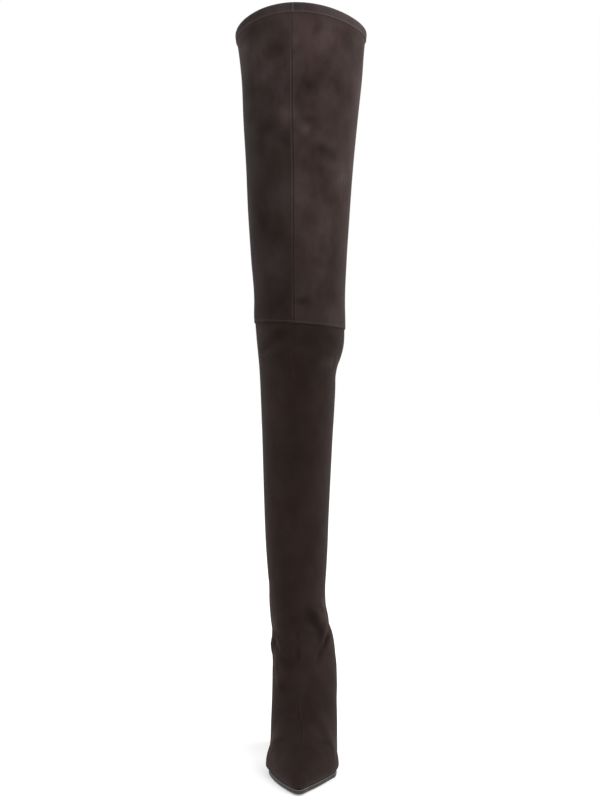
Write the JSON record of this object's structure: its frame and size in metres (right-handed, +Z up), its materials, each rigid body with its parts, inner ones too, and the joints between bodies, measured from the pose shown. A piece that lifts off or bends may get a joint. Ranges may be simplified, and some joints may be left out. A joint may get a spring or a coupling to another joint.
{
  "type": "thigh high boot",
  "caption": "Women's thigh high suede boot for the right foot, pointed toe, high covered heel, hollow shaft with knee seam and folded collar.",
  "frame": {"origin": "middle of the heel tip's lower face, on the floor", "axes": "+Z up along the shaft, -Y towards the toe, +X towards the inner side of the leg"},
  "size_m": [0.156, 0.287, 0.8575],
  "materials": {
    "suede_lower": "dark brown suede, short nap",
    "suede_thigh": "dark brown suede, mottled nap",
    "suede_band": "dark brown suede, folded edge",
    "insole_lining": "smooth lining leather",
    "sole_leather": "dark sole leather, satin edge",
    "heel_cover": "dark brown suede cover",
    "lift_rubber": "matte black"
  },
  "bodies": {
    "root": {"upper": "suede_lower", "thigh_shaft": "suede_thigh", "collar_band": "suede_band", "insole": "insole_lining", "outsole": "sole_leather", "heel": "heel_cover", "top_lift": "lift_rubber"}
  },
  "joints": []
}
